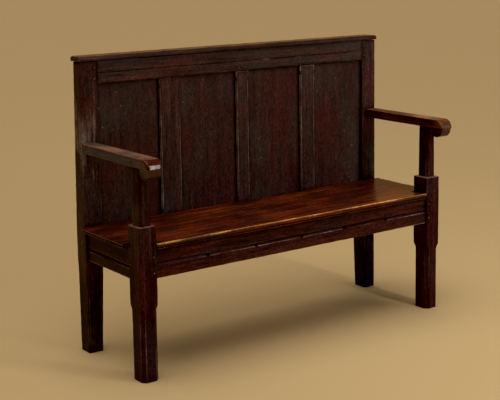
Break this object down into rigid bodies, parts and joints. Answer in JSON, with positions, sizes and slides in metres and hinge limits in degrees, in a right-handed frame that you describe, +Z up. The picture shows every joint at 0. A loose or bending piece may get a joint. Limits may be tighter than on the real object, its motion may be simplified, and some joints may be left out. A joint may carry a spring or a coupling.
{
  "type": "settle bench",
  "caption": "Settle bench of dark oak with a panelled back, a moulded cap board, scrolled open arms, a plank seat and square legs with chamfered corners.",
  "frame": {"origin": "on the floor, at the middle of the bench's length and depth", "axes": "+X along the seat towards the right end as seen from the front, +Y from the front to the back, +Z up"},
  "size_m": [1.35, 0.497, 1.0343],
  "materials": {
    "post_oak": "waxed, very dark brown, worn on the arrises",
    "frame_oak": "waxed, dark red-brown with a greyish bloom",
    "rail_oak": "waxed, dark red-brown",
    "panel_oak": "waxed, dark red-brown",
    "seat_oak": "polished by use, warm orange-brown",
    "arm_oak": "polished by hands, red-brown and glossy",
    "peg_oak": "dry end grain"
  },
  "bodies": {
    "root": {"front_post_left": "post_oak", "front_post_right": "post_oak", "rear_post_left": "frame_oak", "rear_post_right": "frame_oak", "side_seat_rail_left": "rail_oak", "side_seat_rail_right": "rail_oak", "front_seat_rail": "rail_oak", "rear_seat_rail": "rail_oak", "seat_bearer": "rail_oak", "top_rail": "frame_oak", "cap_board": "frame_oak", "muntin_1": "frame_oak", "muntin_2": "frame_oak", "muntin_3": "frame_oak", "back_panel_1": "panel_oak", "back_panel_2": "panel_oak", "back_panel_3": "panel_oak", "back_panel_4": "panel_oak", "seat_board": "seat_oak", "arm_left": "arm_oak", "arm_right": "arm_oak", "peg_front_rail_1_left": "peg_oak", "peg_front_rail_2_left": "peg_oak", "peg_rear_rail_1_left": "peg_oak", "peg_rear_rail_2_left": "peg_oak", "peg_top_rail_1_left": "peg_oak", "peg_top_rail_2_left": "peg_oak", "peg_side_rail_front_left": "peg_oak", "peg_side_rail_rear_left": "peg_oak", "peg_arm_front_left": "peg_oak", "peg_arm_rear_left": "peg_oak", "peg_seat_left": "peg_oak", "peg_bearer_1_left": "peg_oak", "peg_bearer_2_left": "peg_oak", "peg_front_rail_1_right": "peg_oak", "peg_front_rail_2_right": "peg_oak", "peg_rear_rail_1_right": "peg_oak", "peg_rear_rail_2_right": "peg_oak", "peg_top_rail_1_right": "peg_oak", "peg_top_rail_2_right": "peg_oak", "peg_side_rail_front_right": "peg_oak", "peg_side_rail_rear_right": "peg_oak", "peg_arm_front_right": "peg_oak", "peg_arm_rear_right": "peg_oak", "peg_seat_right": "peg_oak", "peg_bearer_1_right": "peg_oak", "peg_bearer_2_right": "peg_oak", "peg_muntin_1_1": "peg_oak", "peg_muntin_1_2": "peg_oak", "peg_muntin_2_1": "peg_oak", "peg_muntin_2_2": "peg_oak", "peg_muntin_3_1": "peg_oak", "peg_muntin_3_2": "peg_oak"}
  },
  "joints": []
}
